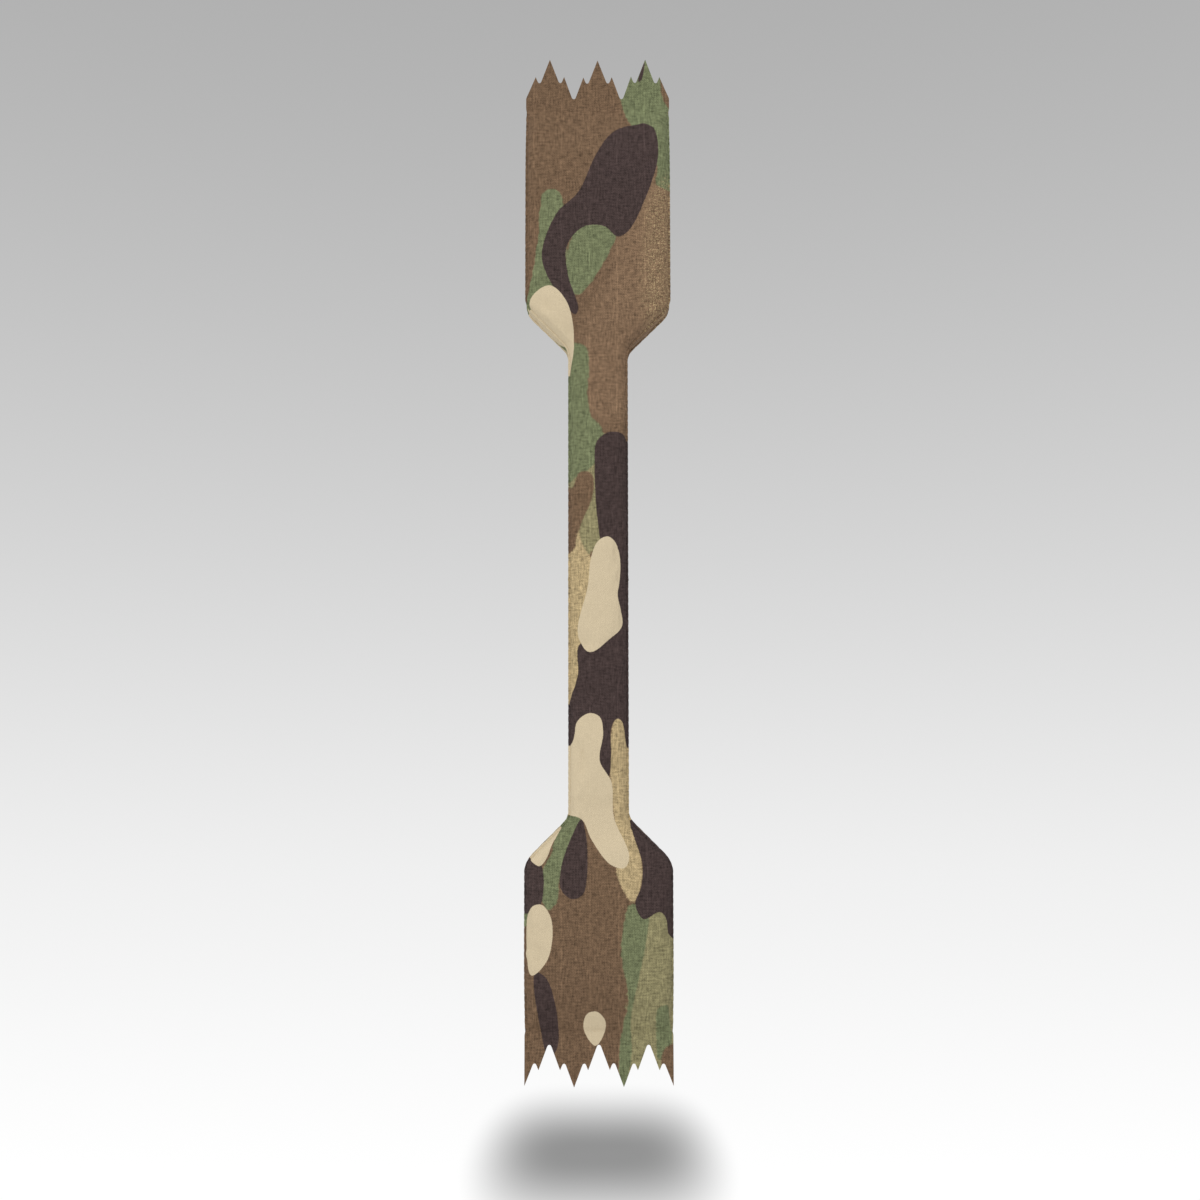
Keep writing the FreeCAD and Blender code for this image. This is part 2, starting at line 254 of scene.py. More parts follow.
def stuffing_swell():
    """How far a simulated cover moves out between its seams, for both panels and both gussets."""
    rings, seam = sim_rings()
    rows, around = rings.shape[:2]
    mesh = bpy.data.meshes.new("stuffing")
    index = np.arange(rows * around).reshape(rows, around)
    beside = np.roll(index, -1, 1)
    quads = np.stack([index[:-1], beside[:-1], beside[1:], index[1:]], -1).reshape(-1, 4)
    faces = quads.tolist() + [index[0, ::-1].tolist(), index[-1].tolist()]
    mesh.from_pydata((rings.reshape(-1, 3) * MM).tolist(), [], faces)
    body = bpy.data.objects.new("stuffing", mesh)
    bpy.context.scene.collection.objects.link(body)
    held = body.vertex_groups.new(name="sewn")
    pinned = np.zeros((rows, around)) + seam
    pinned[[0, -1]] = 1
    held.add(index[pinned > 0].tolist(), 1.0, "REPLACE")
    cloth = body.modifiers.new("stuffing", "CLOTH")
    settings = cloth.settings
    settings.quality = 8
    settings.mass = 0.2
    settings.tension_stiffness = 25
    settings.compression_stiffness = 25
    settings.shear_stiffness = 10
    settings.bending_stiffness = 1.5
    settings.use_pressure = True
    settings.uniform_pressure_force = SIM_PRESSURE
    settings.vertex_group_mass = held.name
    settings.shrink_min = SIM_EASE
    settings.effector_weights.gravity = 0
    cloth.point_cache.frame_start = 1
    cloth.point_cache.frame_end = SIM_FRAMES
    for step in range(1, SIM_FRAMES + 1):
        bpy.context.scene.frame_set(step)
    graph = bpy.context.evaluated_depsgraph_get()
    moved = body.evaluated_get(graph).data
    places = np.empty(len(moved.vertices) * 3)
    moved.vertices.foreach_get("co", places)
    swell = places.reshape(rows, around, 3) / MM - rings
    bpy.data.objects.remove(body)
    bpy.context.scene.frame_set(1)
    size = np.linalg.norm(swell, axis=-1, keepdims=True)
    swell *= SIM_CAP * np.tanh(size / SIM_CAP) / np.maximum(size, 1e-6)
    print("stuffing swells by up to", round(float(size.max()), 2), "mm")
    inner = SIM_GUSSET - 2
    front = swell[:, :SIM_PANEL]
    right = swell[:, SIM_PANEL - 1:SIM_PANEL + inner + 1]
    back = swell[:, SIM_PANEL + inner:2 * SIM_PANEL + inner][:, ::-1]
    left = np.concatenate([swell[:, 2 * SIM_PANEL + inner - 1:], swell[:, :1]], 1)[:, ::-1]
    return {("panel", -1): front, ("panel", 1): back, ("gusset", 1): right, ("gusset", -1): left}


def cubic_weights(places, count):
    """Rows of Catmull-Rom weights that read a grid of count values at places from 0 to count - 1."""
    weights = np.zeros((len(places), count))
    base = np.clip(np.floor(places).astype(int), 0, count - 2)
    t = places - base
    parts = (-t + 2 * t**2 - t**3, 2 - 5 * t**2 + 3 * t**3, t + 4 * t**2 - 3 * t**3, -t**2 + t**3)
    rows = np.arange(len(places))
    for offset, part in zip((-1, 0, 1, 2), parts):
        np.add.at(weights, (rows, np.clip(base + offset, 0, count - 1)), part / 2)
    return weights


def read_swell(grid, shares, heights):
    """Swell at shares from -1 to 1 across and heights along, read smoothly from the coarse grid."""
    levels, columns = grid.shape[:2]
    along = np.clip((heights + LOWER_SEAM) / (UPPER_SEAM + LOWER_SEAM), 0, 1) * (levels - 1)
    across = (np.asarray(shares) + 1) / 2 * (columns - 1)
    by_row = np.einsum("hl,lcd->hcd", cubic_weights(along, levels), grid)
    return np.einsum("sc,hcd->hsd", cubic_weights(across, columns), by_row)


# ---- the printed pattern

# Outlines of broad leaf-like shapes, as (x, z) points on the plane through the middle of the bumper, seen
# from the front. They follow the photographed print. A shape may run past the edge, and the inks are in
# the order in which they are printed, so later ones cover earlier ones.
EYE_AWAY = 748.0  # of the front view, from that plane
EYE_HEIGHT = -65.0
FADED = [
    [(12, 172), (22, 184), (44, 184), (44, 100), (24, 88), (20, 76), (-6, 70), (-12, 100), (6, 140)],
]
OLIVE = [
    [(16, -138), (40, -136), (40, -245), (8, -245), (10, -205), (13, -168)],
    [(-18, 70), (2, 66), (2, 32), (0.5, 17), (-6, 11), (-10, 26), (-18, 36)],
]
KHAKI = [
    [(-18, 38), (-10, 31), (-8, 19), (2, 0), (-6, -30), (-12, -54), (-18, -62), (-22, 0)],
    [(8, -58), (5.5, -65), (5, -80), (8, -109), (11, -116), (7.5, -124), (14.5, -137.5), (18.5, -128),
     (17, -106), (20, -96), (22, -70), (16, -58)],
]
GREEN = [
    [(9, 240), (11, 212), (20.5, 194.5), (26, 185), (26.5, 176.5), (40, 177), (40, 199), (29, 216),
     (26, 240)],
    [(-17.5, 173.5), (-24, 173), (-26.5, 150), (-31.5, 128.5), (-38.5, 117), (-38, 112), (-22.5, 114),
     (-15, 137), (-14, 160.5)],
    [(-13, 147), (-8, 158), (4, 162), (9, 158), (5, 146), (-3.5, 132), (-8.5, 127), (-12, 128), (-14, 137)],
    [(-18, 105), (-6, 104.5), (-4, 101), (-4, 75), (2, 66.5), (1, 56), (-5, 49), (-18, 45)],
    [(-16.5, -102), (-9, -100), (-8, -113.5), (-16, -125), (-18, -138), (-21.5, -140.5), (-24, -137),
     (-23.5, -123), (-20.5, -117.5)],
    [(-37, -139.5), (-30, -141), (-30, -146), (-37, -148.5)],
    [(13.5, -138), (9.5, -158), (12.5, -178), (9, -197), (9, -225), (14, -200), (13.5, -188), (20, -154),
     (21, -143.5), (17.5, -139.5)],
    [(25, -182), (29.5, -181), (31, -191), (30, -201.5), (25.5, -203.5), (24.5, -193)],
]
BROWN = [
    [(-20, 43), (-12, 42), (-8, 48.5), (-3, 48), (-2, 40), (-9.5, 21), (-11, 15), (-20, 13.5)],
    [(27.5, -200), (34, -197), (40, -204), (40, -230), (30, -224)],
]
SPECKLE = [
    [(24, 172), (34, 182), (48, 176), (48, 104), (32, 102), (22, 112), (20, 135)],
]
DARK = [
    [(24, 203), (26.5, 190), (20.5, 169), (13, 155), (8.5, 153), (3, 157.5), (-6, 157.5), (-13.5, 149),
     (-13, 136), (-8.5, 121), (-10, 118.5), (-22, 135.5), (-24.5, 146), (-18, 163.5), (-8.5, 173),
     (-1, 189.5), (6, 200), (15, 204)],
    [(5, 66), (-0.5, 62), (-1.5, 52), (0, 25), (2, 17), (8.5, 12), (4, -8), (4, -30), (18, -30), (20, 20),
     (18, 56), (12, 65)],
    [(-8, -26), (-9, -40), (-18, -61), (-19, -71), (-9, -69), (-2, -62), (-1.5, -78), (3.5, -85), (5.5, -80),
     (5.5, -63), (8, -59), (11, -61), (14, -71), (20, -72), (20, -25)],
    [(14.5, -104.5), (18.5, -120.5), (18, -131), (15.5, -138), (19, -144.5), (26, -141.5), (29.5, -145.5),
     (31, -151.5), (39, -153), (39, -109), (23.5, -99)],
    [(-7.5, -102), (-5.5, -108), (-5, -127), (-7, -134.5), (-11.5, -136), (-16, -132), (-16, -123),
     (-11, -108.5)],
    [(-29.5, -119.5), (-24.5, -122), (-24.5, -138), (-28, -141.5), (-37, -141.5), (-39, -120.5)],
    [(-27, -167), (-22.5, -169), (-18, -183), (-18, -199.5), (-21.5, -202.5), (-25.5, -187)],
    [(18, 223.5), (21, 232.5), (20, 225.5), (19, 223.5)],
]
CREAM = [
    [(-34.5, 115), (-28.5, 127.5), (-21, 131.5), (-13.5, 124), (-10.5, 108), (-14, 93), (-17, 89),
     (-32.5, 93), (-40, 105.5)],
    [(4.5, 20), (9, 15), (10, 2), (8.5, -5), (11, -18), (6, -23.5), (-4, -30), (-9, -23), (-4.5, -1.5),
     (-3, 11), (0, 18)],
    [(-4, -56.5), (0.5, -58), (2, -65), (0.5, -77), (5.5, -86), (6.5, -101), (13, -118), (11, -123),
     (5, -121.5), (-3, -111), (-7.5, -102), (-24, -98), (-24, -74), (-12.5, -69.5), (-9, -60)],
    [(-18.5, -104.5), (-19.5, -111.5), (-25, -122), (-28.5, -120.5), (-35.5, -115.5), (-29.5, -102)],
    [(-1, -183.5), (2.5, -187), (2.5, -192), (-1.5, -198), (-6.5, -191), (-5, -184.5)],
    [(-24, -138.5), (-20, -145), (-21.5, -161), (-28.5, -168.5), (-32, -161), (-32, -144.5), (-28, -139)],
]
OUTLINE_STEPS = 10
FIELD_REACH = 8.0  # mm from an outline where its distance stops counting
FIELD_BATCH = 4000  # places worked out at a time
GUSSET_SHEAR = 0.5


def closed_curve(points):
    """Smooth closed curve through points, however uneven their spacing, in short straight steps."""
    points = np.array(points, float)
    ahead = np.roll(points, -1, 0)
    gap = np.sqrt(np.linalg.norm(ahead - points, axis=1, keepdims=True))
    before_gap = np.roll(gap, 1, 0)
    slope = (ahead - points) / gap
    leave = (np.roll(slope, 1, 0) * gap + slope * before_gap) / (gap + before_gap)
    arrive = np.roll(leave, -1, 0)
    t = (np.arange(OUTLINE_STEPS) / OUTLINE_STEPS)[:, None, None]
    rise = t * t * (3 - 2 * t)
    curve = points + (ahead - points) * rise
    curve = curve + gap * (leave * t * (1 - t) ** 2 - arrive * t**2 * (1 - t))
    return curve.transpose(1, 0, 2).reshape(-1, 2)


def inside_distance(places, curve):
    """Distance to a closed curve, positive inside it."""
    ahead = np.roll(curve, -1, 0)
    edge = ahead - curve
    away = places[:, None] - curve[None]
    share = np.clip((away * edge).sum(-1) / (edge**2).sum(-1), 0, 1)
    gap = np.linalg.norm(away - share[..., None] * edge, axis=-1).min(1)
    rises = (curve[:, 1] <= places[:, None, 1]) != (ahead[:, 1] <= places[:, None, 1])
    run = np.where(edge[:, 1] == 0, 1e-9, edge[:, 1])
    crossing = curve[:, 0] + (places[:, None, 1] - curve[:, 1]) * edge[:, 0] / run
    inside = (rises & (places[:, None, 0] < crossing)).sum(1) % 2
    return np.where(inside == 1, gap, -gap)


def ink_field(places, outlines):
    """Distance inside the nearest of several printed shapes, in millimetres."""
    field = np.full(len(places), -FIELD_REACH)
    curves = [closed_curve(outline) for outline in outlines]
    for curve in curves:
        low, high = curve.min(0) - FIELD_REACH, curve.max(0) + FIELD_REACH
        near = np.flatnonzero(((places > low) & (places < high)).all(1))
        for part in np.array_split(near, len(near) // FIELD_BATCH + 1):
            if len(part):
                field[part] = np.maximum(field[part], inside_distance(places[part], curve))
    return field


INKS = {
    "faded": FADED,
    "olive": OLIVE,
    "khaki": KHAKI,
    "green": GREEN,
    "brown": BROWN,
    "speckle": SPECKLE,
    "dark": DARK,
    "cream": CREAM,
}


def print_on(mesh, across, along):
    """Stores on each vertex its place on the cloth and its distance inside each ink."""
    places = np.stack([across.ravel(), along.ravel()], -1)
    for ink, outlines in INKS.items():
        layer = mesh.attributes.new("ink_" + ink, "FLOAT", "POINT")
        layer.data.foreach_set("value", ink_field(places, outlines).astype(np.float32))
    cloth = mesh.attributes.new("cloth", "FLOAT_VECTOR", "POINT")
    flat = np.concatenate([places, np.zeros((len(places), 1))], 1)
    cloth.data.foreach_set("vector", flat.ravel().astype(np.float32))


def face_print(side_y, across, height):
    """Where a face panel lies on the print. The back shows the same stretch of cloth as the front.

    The front panel stands nearer than the middle plane, so its print is drawn a little smaller.
    """
    if side_y > 0:
        return across, height
    grow = EYE_AWAY / (EYE_AWAY - half_thickness(height))
    return across * grow, EYE_HEIGHT + (height - EYE_HEIGHT) * grow


def gusset_print(side_x, across, height):
    """A gusset shows the front panel's print, mirrored at the front seam and sheared away from it."""
    from_front = across + gusset_half(height)
    girth = half_width(height) - edge_radius(height) * (1 - math.pi / 2)
    u, v = face_print(-1, girth - from_front, height - GUSSET_SHEAR * from_front)
    return side_x * u, v


def print_shell(mesh, across, along):
    """Prints both sides of a closed sheet alike."""
    print_on(mesh, np.tile(across.ravel(), 2), np.tile(along.ravel(), 2))


# ---- making meshes

def new_piece(name, mesh, material, sharp=None):
    piece = bpy.data.objects.new(name, mesh)
    bpy.context.scene.collection.objects.link(piece)
    mesh.materials.append(material)
    mesh.shade_smooth()
    if sharp is not None:
        mesh.set_sharp_from_angle(angle=math.radians(sharp))
    return piece


def mesh_from(name, places, faces):
    mesh = bpy.data.meshes.new(name)
    mesh.from_pydata((np.asarray(places) * MM).tolist(), [], faces)
    work = bmesh.new()
    work.from_mesh(mesh)
    bmesh.ops.recalc_face_normals(work, faces=work.faces)
    work.to_mesh(mesh)
    work.free()
    return mesh


def grid_faces(index):
    """Quads between the rows and columns of an index grid."""
    corners = index[:-1, :-1], index[:-1, 1:], index[1:, 1:], index[1:, :-1]
    return np.stack(corners, -1).reshape(-1, 4).tolist()


def shell_mesh(name, outer, inner):
    """A closed sheet between two grids of points, joined along all four edges."""
    rows, columns = outer.shape[:2]
    top = np.arange(rows * columns).reshape(rows, columns)
    under = top + rows * columns
    faces = grid_faces(top) + grid_faces(under[:, ::-1])
    for turned, below in ((top, under), (top.T, under.T)):
        for end in (0, -1):
            faces += grid_faces(np.stack([turned[end], below[end]]))
    return mesh_from(name, np.concatenate([outer.reshape(-1, 3), inner.reshape(-1, 3)]), faces)


def tube_faces(rings, around, closed_ends=True):
    index = np.arange(rings * around).reshape(rings, around)
    beside = np.roll(index, -1, 1)
    faces = np.stack([index[:-1], beside[:-1], beside[1:], index[1:]], -1).reshape(-1, 4).tolist()
    if closed_ends:
        faces += [index[0, ::-1].tolist(), index[-1].tolist()]
    return faces


# ---- materials

def linear(red, green, blue):
    """Scene colour of an everyday 0 to 255 screen colour."""
    values = np.array([red, green, blue]) / 255
    return tuple(np.where(values <= 0.04045, values / 12.92, ((values + 0.055) / 1.055) ** 2.4)) + (1.0,)


CREAM_INK = linear(204, 188, 158)
DARK_INK = linear(68, 56, 54)
GREEN_INK = linear(111, 117, 86)
KHAKI_INK = linear(176, 156, 118)
OLIVE_INK = linear(138, 131, 97)
BROWN_INK = linear(111, 89, 69)
FADED_INK = linear(125, 101, 79)


class Graph:
    """Short ways to add and join shader nodes."""

    def __init__(self, name):
        self.material = bpy.data.materials.new(name)
        self.material.use_nodes = True
        self.tree = self.material.node_tree
        self.shader = self.tree.nodes["Principled BSDF"]

    def put(self, socket, value):
        if isinstance(value, bpy.types.NodeSocket):
            self.tree.links.new(value, socket)
        else:
            socket.default_value = value

    def math(self, operation, *values):
        node = self.tree.nodes.new("ShaderNodeMath")
        node.operation = operation
        for socket, value in zip(node.inputs, values):
            self.put(socket, value)
        return node.outputs[0]

    def attribute(self, name):
        node = self.tree.nodes.new("ShaderNodeAttribute")
        node.attribute_name = name
        return node

    def object_place(self):
        return self.tree.nodes.new("ShaderNodeTexCoord").outputs["Object"]

    def parts(self, vector):
        """The three numbers of a vector."""
        node = self.tree.nodes.new("ShaderNodeSeparateXYZ")
        self.put(node.inputs[0], vector)
        return tuple(node.outputs)

    def stretched(self, vector, scale):
        node = self.tree.nodes.new("ShaderNodeMapping")
        node.inputs["Scale"].default_value = scale
        self.put(node.inputs["Vector"], vector)
        return node.outputs[0]

    def noise(self, vector, scale, detail=3.0, roughness=0.5):
        node = self.tree.nodes.new("ShaderNodeTexNoise")
        self.put(node.inputs["Vector"], vector)
        node.inputs["Scale"].default_value = scale
        node.inputs["Detail"].default_value = detail
        node.inputs["Roughness"].default_value = roughness
        return node.outputs["Fac"]

    def ramp(self, value, low, high, to_low=0.0, to_high=1.0):
        node = self.tree.nodes.new("ShaderNodeMapRange")
        node.interpolation_type = "SMOOTHSTEP"
        for socket, given in zip(node.inputs, (value, low, high, to_low, to_high)):
            self.put(socket, given)
        return node.outputs[0]

    def mix(self, share, first, second):
        node = self.tree.nodes.new("ShaderNodeMix")
        node.data_type = "RGBA"
        self.put(node.inputs["Factor"], share)
        self.put(node.inputs["A"], first)
        self.put(node.inputs["B"], second)
        return node.outputs["Result"]

    def shade(self, colour, factor):
        """A colour made lighter or darker by a number near 1."""
        node = self.tree.nodes.new("ShaderNodeVectorMath")
        node.operation = "SCALE"
        self.put(node.inputs["Vector"], colour[:3] if isinstance(colour, tuple) else colour)
        self.put(node.inputs["Scale"], factor)
        return node.outputs[0]

    def bump(self, height, distance, strength=1.0):
        node = self.tree.nodes.new("ShaderNodeBump")
        node.inputs["Strength"].default_value = strength
        node.inputs["Distance"].default_value = distance
        self.put(node.inputs["Height"], height)
        self.put(self.shader.inputs["Normal"], node.outputs[0])

    def finish(self, colour, roughness, **constants):
        self.put(self.shader.inputs["Base Color"], colour)
        self.put(self.shader.inputs["Roughness"], roughness)
        for name, value in constants.items():
            self.shader.inputs[name.replace("_", " ")].default_value = value
        return self.material


def weave_height(graph, across, along):
    """Plain weave: raised warp and weft threads that pass over each other in turn."""
    warp, weft = (graph.math("SINE", graph.math("MULTIPLY", way, 2 * math.pi / WEAVE_PITCH))
                  for way in (across, along))
    return graph.math("MULTIPLY", warp, weft)


def rib_lines(graph, across, place):
    """Heavier threads along the cloth at an even spacing, broken up by uneven printing."""
    shifted = graph.math("ADD", across, RIB_OFFSET + RIB_PITCH / 2)
    beside = graph.math("PINGPONG", graph.math("ADD", shifted, RIB_PITCH / 2), RIB_PITCH / 2)
    line = graph.ramp(beside, 0.5, 0.15)
    uneven = graph.noise(graph.stretched(place, (0.5, 0.12, 1)), 1.0, 2.0)
    return graph.math("MULTIPLY", line, graph.ramp(uneven, 0.4, 0.6))


def ink_cover(graph, ink, soft, fuzz, ragged):
    """Where an ink covers the cloth: its stored distance, roughened by a noise."""
    distance = graph.attribute("ink_" + ink).outputs["Fac"]
    rough = graph.math("MULTIPLY", graph.math("SUBTRACT", ragged, 0.5), 2 * fuzz)
    return graph.ramp(graph.math("ADD", distance, rough), -soft / 2, soft / 2)


def camo_cloth(name, tint=1.0):
    """Canvas printed with camouflage, with its weave, uneven threads and ribs."""
    graph = Graph(name)
    place = graph.attribute("cloth").outputs["Vector"]
    across, along, _ = graph.parts(place)
    weave = weave_height(graph, across, along)
    ribs = rib_lines(graph, across, place)
    weft = graph.noise(graph.stretched(place, (0.35, 1.3, 1)), 1.0, 3.0, 0.6)
    warp = graph.noise(graph.stretched(place, (1.5, 0.25, 1)), 1.0, 3.0, 0.6)
    grain = graph.noise(place, 1.6, 2.0, 0.7)
    broad = graph.noise(place, 0.35, 3.0, 0.6)
    colour = BROWN_INK
    for ink, paint, soft, fuzz, ragged in (
        ("faded", FADED_INK, 12.0, 4.0, broad),
        ("olive", OLIVE_INK, 1.5, 3.0, broad),
        ("khaki", KHAKI_INK, 1.0, 1.4, grain),
        ("green", GREEN_INK, 0.9, 1.0, broad),
        ("brown", BROWN_INK, 0.8, 1.2, grain),
    ):
        colour = graph.mix(ink_cover(graph, ink, soft, fuzz, ragged), colour, paint)
    flecks = graph.ramp(grain, 0.5, 0.62)
    speckled = graph.math("MULTIPLY", ink_cover(graph, "speckle", 8.0, 3.0, broad), flecks)
    colour = graph.mix(graph.math("MULTIPLY", speckled, 0.8), colour, KHAKI_INK)
    colour = graph.mix(ink_cover(graph, "dark", 0.35, 0.35, grain), colour, DARK_INK)
    threads = graph.math("ADD", graph.math("SUBTRACT", weft, 0.5), graph.math("SUBTRACT", warp, 0.5))
    uneven = graph.math("ADD", graph.math("MULTIPLY", threads, 1.6), graph.math("MULTIPLY", weave, 0.12))
    lift = graph.math("ADD", uneven, graph.math("MULTIPLY", ribs, 0.32))
    colour = graph.shade(colour, graph.math("ADD", lift, tint))
    calm = graph.shade(CREAM_INK, graph.math("ADD", graph.math("MULTIPLY", lift, 0.1), tint))
    colour = graph.mix(ink_cover(graph, "cream", 0.3, 0.2, grain), colour, calm)
    height = graph.math("ADD", graph.math("MULTIPLY", weave, 0.5), graph.math("MULTIPLY", threads, 1.2))
    graph.bump(graph.math("ADD", height, graph.math("MULTIPLY", ribs, 0.8)), 0.00012, 0.6)
    return graph.finish(colour, graph.ramp(grain, 0.2, 0.8, 0.82, 0.95), Specular_IOR_Level=0.06)


def foam_material():
    """Closed-cell foam: small even cells."""
    graph = Graph("closed_cell_foam")
    cells = graph.tree.nodes.new("ShaderNodeTexVoronoi")
    graph.put(cells.inputs["Vector"], graph.object_place())
    cells.inputs["Scale"].default_value = 900
    wall = graph.ramp(cells.outputs["Distance"], 0.1, 0.7)
    colour = graph.mix(wall, linear(62, 63, 66), linear(86, 88, 92))
    graph.bump(cells.outputs["Distance"], 0.0003, 0.7)
    return graph.finish(colour, 0.9)


def wadding_material():
    graph = Graph("wadding")
    fluff = graph.noise(graph.stretched(graph.object_place(), (300, 300, 120)), 1.0, 6.0, 0.7)
    colour = graph.mix(fluff, linear(214, 210, 200), linear(238, 236, 228))
    graph.bump(fluff, 0.0008, 0.8)
    return graph.finish(colour, 0.95)


def rope_material():
    """Laid rope: slanted strands round the spine."""
    graph = Graph("spine_rope")
    x, y, z = graph.parts(graph.object_place())
    angle = graph.math("ARCTAN2", y, x)
    turn = graph.math("ADD", graph.math("MULTIPLY", angle, 3), graph.math("MULTIPLY", z, 900))
    strand = graph.math("ABSOLUTE", graph.math("SINE", turn))
    colour = graph.mix(strand, linear(150, 142, 122), linear(206, 198, 176))
    graph.bump(strand, 0.0005, 0.8)
    return graph.finish(colour, 0.85)


def steel_material():
    graph = Graph("weight_steel")
    brushed = graph.noise(graph.stretched(graph.object_place(), (40, 1500, 1500)), 1.0, 3.0)
    colour = graph.mix(brushed, linear(150, 151, 154), linear(188, 189, 192))
    return graph.finish(colour, graph.ramp(brushed, 0.2, 0.8, 0.25, 0.45), Metallic=1.0)


def plastic_material():
    graph = Graph("anchor_plastic")
    grain = graph.noise(graph.object_place(), 2500, 2.0)
    colour = graph.mix(grain, linear(34, 34, 36), linear(48, 48, 51))
    graph.bump(grain, 0.00005, 0.4)
    return graph.finish(colour, 0.5)


# ---- cover pieces

PANEL_COLUMNS = 69
GUSSET_COLUMNS = 31
GATHER_REACH = 13.0  # from an end seam to where its folds have mostly faded
GATHER_DEPTH = 0.3
GATHER_TURNS = (0.95, 0.55)  # radians of each of two waves per millimetre across
PUCKER_REACH = 4.0
PUCKER_DEPTH = 0.22
PUCKER_TURNS = (0.83, 1.31)
CLOTH_DEPTH = 0.12  # of broad unevenness in the cloth
SINK_LIMIT = 0.2  # the cover never sinks deeper than this, so that nothing inside shows
SPLIT_REACH = 6.0
cloth_waves = waves(14, 14, 45, 3)
fine_waves = waves(10, 5, 12, 4)


def gathers(across, height, side_y):
    """Small folds that run from an end seam into the padding."""
    near = seam_distance(height) - np.abs(height)
    fade = np.exp(-np.clip(near, 0, None) / GATHER_REACH) * smooth(-3, 1.5, near)
    lean = 1 + 0.02 * np.clip(near, 0, None)
    fine, wide = (across * turn * lean + side_y for turn in GATHER_TURNS)
    pulls = np.sin(fine) + 0.6 * np.sin(wide + 2.1)
    return GATHER_DEPTH * fade * pulls


def puckers(from_seam, height, seed):
    """Short dimples beside a long seam."""
    fade = np.exp(-np.abs(from_seam) / PUCKER_REACH) * smooth(3, 9, half_thickness(height))
    slow, quick = PUCKER_TURNS
    beat = np.sin(height * slow + seed) + 0.7 * np.sin(height * quick + 2 * seed)
    return PUCKER_DEPTH * fade * (beat - 0.6)


def cloth_depth(height):
    """Thickness of the cover, less where an end is too thin for it."""
    return np.minimum(CLOTH, half_thickness(height) * 0.6)


def calm_at_split(height):
    """Fades relief to nothing at mid grip, where the upper and lower pieces meet."""
    return smooth(0.0, SPLIT_REACH, np.abs(height))


def rows_between(low, high, step=GRID):
    return np.linspace(low, high, int(round((high - low) / step)) + 1)


def panel_surface(side_y, share, height, swell):
    """Outer points, outward directions and places across, with swell and small relief.

    share and height are grids: columns of equal share, and rows of equal height if swell is given.
    """
    place, normal, across = panel_place(side_y, share, height)
    from_seam = (1 - np.abs(share)) * (half_width(height) + EDGE_GIRTH)
    relief = CLOTH_DEPTH * cloth_waves(across + 40 * side_y, height)
    relief += 0.35 * CLOTH_DEPTH * fine_waves(across, height + 30 * side_y)
    relief += gathers(across, height, side_y)
    relief *= smooth(0, 3, from_seam)
    relief += puckers(from_seam, height, 3 + side_y + np.sign(share)) * smooth(0, 0.6, from_seam)
    relief *= calm_at_split(height)
    moved = (swell * normal).sum(-1) + relief
    relief += np.clip(-SINK_LIMIT - moved, 0, None)
    return place + swell + normal * relief[..., None], normal, across


def face_panel(name, side_y, low, high, swell, material):
    shares = np.linspace(-1, 1, PANEL_COLUMNS)
    heights = rows_between(low, high)
    share, height = np.meshgrid(shares, heights)
    moved = read_swell(swell["panel", side_y], shares, heights)
    outer, normal, across = panel_surface(side_y, share, height, moved)
    depth = cloth_depth(height)[..., None]
    mesh = shell_mesh(name, outer, outer - normal * depth)
    print_shell(mesh, *face_print(side_y, across, height))
    return new_piece(name, mesh, material, sharp=50)


STITCH_INSET = 2.3  # topstitching on a gusset, from each seam
CHANNEL_DEPTH = 0.35  # of the dip that it pulls into the padding
CHANNEL_WIDTH = 0.7
GUSSET_SINK_LIMIT = 0.4


def gusset_relief(across, height, side_x):
    from_seam = gusset_half(height) - np.abs(across)
    relief = 0.8 * CLOTH_DEPTH * cloth_waves(across + 90 * side_x, height)
    relief += puckers(from_seam, height, 9 + side_x) * smooth(0, 0.6, from_seam)
    room = smooth(2.5, 4.5, gusset_half(height))
    relief -= CHANNEL_DEPTH * room * np.exp(-((from_seam - STITCH_INSET) / CHANNEL_WIDTH) ** 2)
    return relief * calm_at_split(height)


def gusset_surface(side_x, shares, heights, swell):
    share, height = np.meshgrid(shares, heights)
    place, normal, across = gusset_place(side_x, share, height)
    moved = read_swell(swell["gusset", side_x], shares, heights)
    relief = gusset_relief(across, height, side_x)
    relief += np.clip(-GUSSET_SINK_LIMIT - (moved * normal).sum(-1) - relief, 0, None)
    return place + moved + normal * relief[..., None], normal, across, height


def gusset(name, side_x, low, high, swell, material):
    shares = np.linspace(-1, 1, GUSSET_COLUMNS)
    outer, normal, across, height = gusset_surface(side_x, shares, rows_between(low, high), swell)
    mesh = shell_mesh(name, outer, outer - normal * CLOTH)
    print_shell(mesh, *gusset_print(side_x, across, height))
    return new_piece(name, mesh, material, sharp=50)


WELT_AROUND = 10
WELT_STEP = 0.6
WELT_HALF_WIDTH = 0.62
WELT_STITCH_PITCH = 3.2
WELT_PINCH = 0.16  # share of its size that a stitch pulls in
WELT_PINCH_REACH = 0.45
WELT_ROOT = 0.25  # a welt is never lower than this


